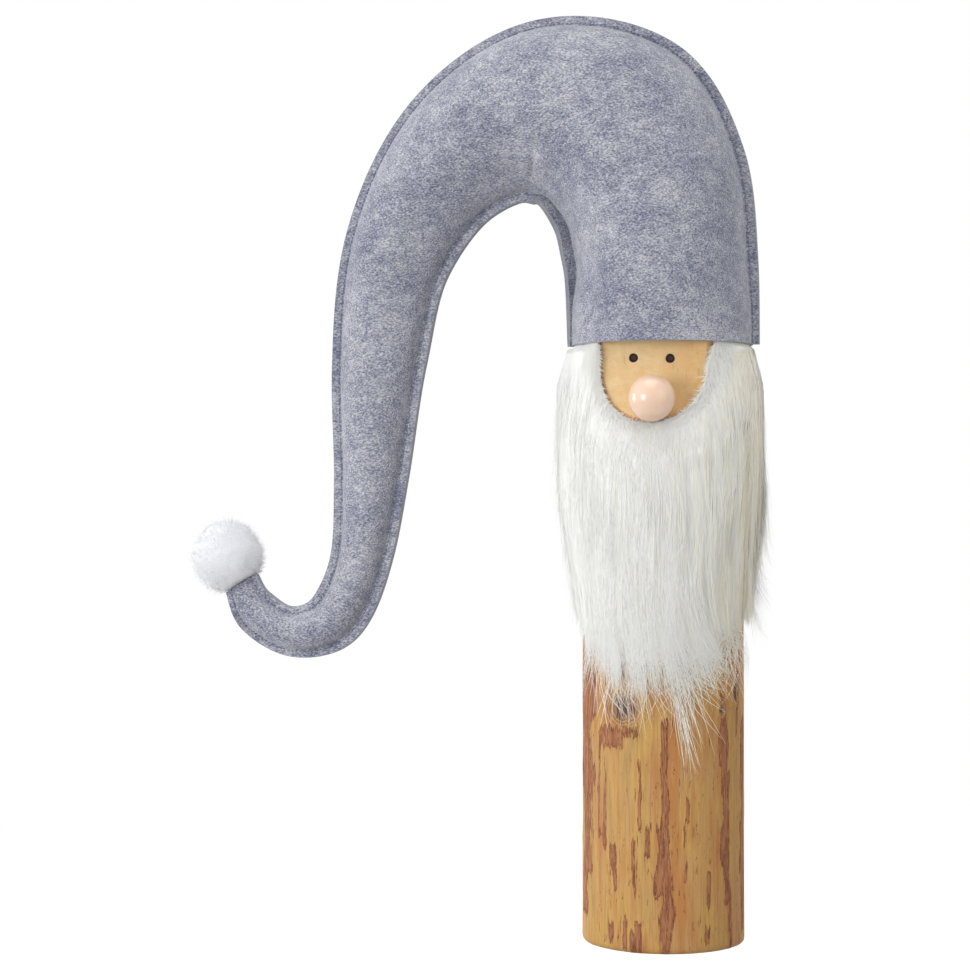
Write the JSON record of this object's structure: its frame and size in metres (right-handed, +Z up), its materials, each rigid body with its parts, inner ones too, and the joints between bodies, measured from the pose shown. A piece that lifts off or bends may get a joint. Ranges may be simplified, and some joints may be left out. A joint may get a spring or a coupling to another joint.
{
  "type": "gnome figurine",
  "caption": "Decorative gnome with a peeled log body, flat carved face with ball nose, long-pile fur beard and tall stuffed felt hat whose curled tail ends in a pompom.",
  "frame": {"origin": "centre of the log's base, on the surface it stands on", "axes": "+Z up along the log, the face looks to -Y, the hat lies in the XZ plane with its tail towards -X"},
  "size_m": [0.3342, 0.1136, 0.5131],
  "materials": {
    "log_wood": "peeled, dry, honey tan with red-brown inner bark left in streaks",
    "nose_lacquer": "turned wooden ball in glossy skin-pink lacquer",
    "dowel_wood": "plain beech dowel",
    "eye_paint": "near-black brown stain, satin",
    "fur_backing": "knitted polyester backing",
    "fur_pile": "long soft white pile",
    "hat_felt": "melange felt in grey and blue",
    "thread": "dark blue-grey sewing thread",
    "stuffing": "polyester fibre",
    "pompom_yarn": "soft white cut yarn"
  },
  "bodies": {
    "trunk": {"log": "log_wood", "nose_ball": "nose_lacquer", "nose_dowel": "dowel_wood", "eye_left": "eye_paint", "eye_right": "eye_paint", "beard_backing": "fur_backing", "beard_pile": "fur_pile", "hat_front_panel": "hat_felt", "hat_back_panel": "hat_felt", "outer_seam_thread": "thread", "inner_seam_thread": "thread", "crown_fill": "stuffing"},
    "tail": {"tail_fill": "stuffing"},
    "tip": {"tip_fill": "stuffing"},
    "pompom": {"pompom": "pompom_yarn", "pompom_tie": "pompom_yarn"}
  },
  "joints": [
    {"name": "tail_bend", "type": "hinge", "parent": "trunk", "child": "tail", "pos_m": [-0.1014, 0, 0.4507], "axis": [-0.2656, 0, 0.9641], "range_deg": [-30, 30], "deforming": ["hat_front_panel", "hat_back_panel", "outer_seam_thread", "inner_seam_thread"]},
    {"name": "tip_bend", "type": "hinge", "parent": "tail", "child": "tip", "pos_m": [-0.1745, 0, 0.2075], "axis": [-0.9994, 0, 0.0349], "range_deg": [-40, 40], "deforming": ["hat_front_panel", "hat_back_panel", "outer_seam_thread", "inner_seam_thread"]},
    {"name": "pompom_wobble", "type": "hinge", "parent": "tip", "child": "pompom", "pos_m": [-0.24446, 0, 0.19193], "axis": [0.8572, 0, 0.515], "range_deg": [-20, 20], "stiffness_Nm_per_rad": 0.05}
  ]
}
